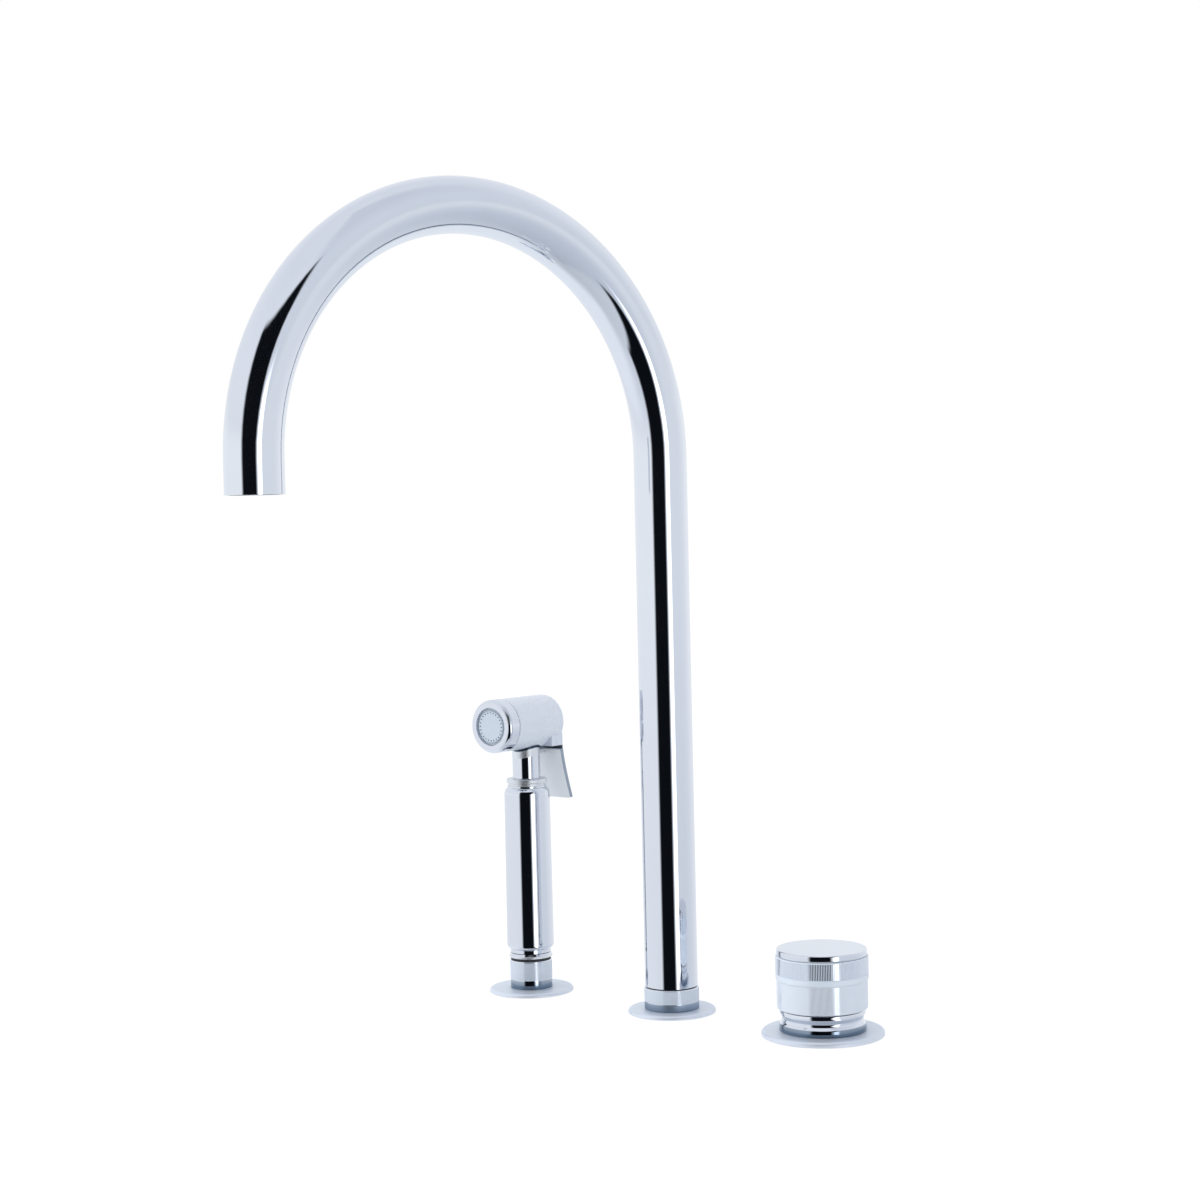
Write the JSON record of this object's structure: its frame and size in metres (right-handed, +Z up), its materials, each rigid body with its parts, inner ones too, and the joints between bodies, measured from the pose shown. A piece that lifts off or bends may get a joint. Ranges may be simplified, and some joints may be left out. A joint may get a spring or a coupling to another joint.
{
  "type": "kitchen mixer tap",
  "caption": "Chrome kitchen mixer set for a worktop: tall arched swivel spout, round control knob with a grip band, and a lever rinse handset lifting out of its holder.",
  "frame": {"origin": "centre line of the spout where its flange meets the worktop's upper face", "axes": "+Z up out of the worktop, -Y towards the user and the sink, +X towards the control knob, with the rinse handset on the -X side"},
  "size_m": [0.222, 0.2562, 0.4485],
  "materials": {
    "polished_chrome": "mirror polished",
    "satin_chrome": "fine turned texture and knurling",
    "brass": "turned",
    "steel": "bright",
    "black_rubber": "matt",
    "white_plastic": "moulded",
    "ceramic": "lapped"
  },
  "bodies": {
    "deck_set": {"spout_flange": "polished_chrome", "small_gaskets": "black_rubber", "spout_shank": "polished_chrome", "spout_seals": "black_rubber", "spout_thrust_washer": "black_rubber", "spout_rubber_washer": "black_rubber", "spout_steel_washer": "steel", "spout_back_nut": "brass", "control_flange": "polished_chrome", "control_gasket": "black_rubber", "control_base": "polished_chrome", "valve_body": "brass", "tail_block": "brass", "hot_socket": "brass", "cold_socket": "brass", "mixed_socket": "brass", "control_rubber_washer": "black_rubber", "control_steel_washer": "steel", "control_back_nut": "brass", "cartridge_case": "white_plastic", "cartridge_nut": "brass", "cartridge_seals": "black_rubber", "fixed_disc": "ceramic", "holder_flange": "polished_chrome", "holder_body": "polished_chrome", "holder_liner": "black_rubber", "holder_rubber_washer": "black_rubber", "holder_steel_washer": "steel", "holder_back_nut": "brass"},
    "spout": {"spout_tube": "polished_chrome", "swivel_sleeve": "brass", "spout_lock_screw": "steel", "aerator_housing": "polished_chrome", "aerator_jet_plate": "white_plastic", "aerator_gasket": "black_rubber"},
    "knob": {"moving_disc": "ceramic", "spindle": "brass", "knob_insert": "white_plastic", "knob_sleeve": "satin_chrome", "grip_band": "satin_chrome", "knob_cap": "polished_chrome", "knob_lock_screw": "steel"},
    "hose_end": {"hose_fitting": "polished_chrome", "swivel_clip": "steel", "swivel_seal": "black_rubber"},
    "handset": {"handle": "polished_chrome", "water_tube": "white_plastic", "top_ring": "polished_chrome", "handset_neck": "polished_chrome", "head_shell": "satin_chrome", "front_ring": "polished_chrome", "nozzle_plate": "steel", "valve_seat": "brass", "stem_guide": "brass", "stem_seal": "black_rubber", "lever_pin": "steel", "return_spring": "steel"},
    "lever": {"lever": "satin_chrome"},
    "stem": {"valve_stem": "brass", "seat_washer": "black_rubber"}
  },
  "joints": [
    {"name": "spout_swivel", "type": "hinge", "parent": "deck_set", "child": "spout", "pos_m": [0, 0, 0.05], "axis": [0, 0, 1], "continuous": true},
    {"name": "knob_turn", "type": "hinge", "parent": "deck_set", "child": "knob", "pos_m": [0.0855, 0, 0.02], "axis": [0, 0, 1], "range_deg": [0, 120]},
    {"name": "handset_lift", "type": "slide", "parent": "deck_set", "child": "hose_end", "axis": [0, 0, 1], "range_m": [0, 0.12]},
    {"name": "handset_turn", "type": "hinge", "parent": "hose_end", "child": "handset", "pos_m": [-0.088, 0, 0.05], "axis": [0, 0, 1], "continuous": true},
    {"name": "lever_squeeze", "type": "hinge", "parent": "handset", "child": "lever", "pos_m": [-0.088, 0.01, 0.12315], "axis": [-1, 0, 0], "range_deg": [0, 13], "stiffness_Nm_per_rad": 0.05, "springref_deg": -22.92},
    {"name": "valve_slide", "type": "slide", "parent": "handset", "child": "stem", "axis": [0, 1, 0], "range_m": [0, 0.0016], "deforming": ["return_spring"]}
  ],
  "couplings": [
    {"joint": "valve_slide", "follows": "lever_squeeze", "m_per_rad": 0.00663}
  ]
}
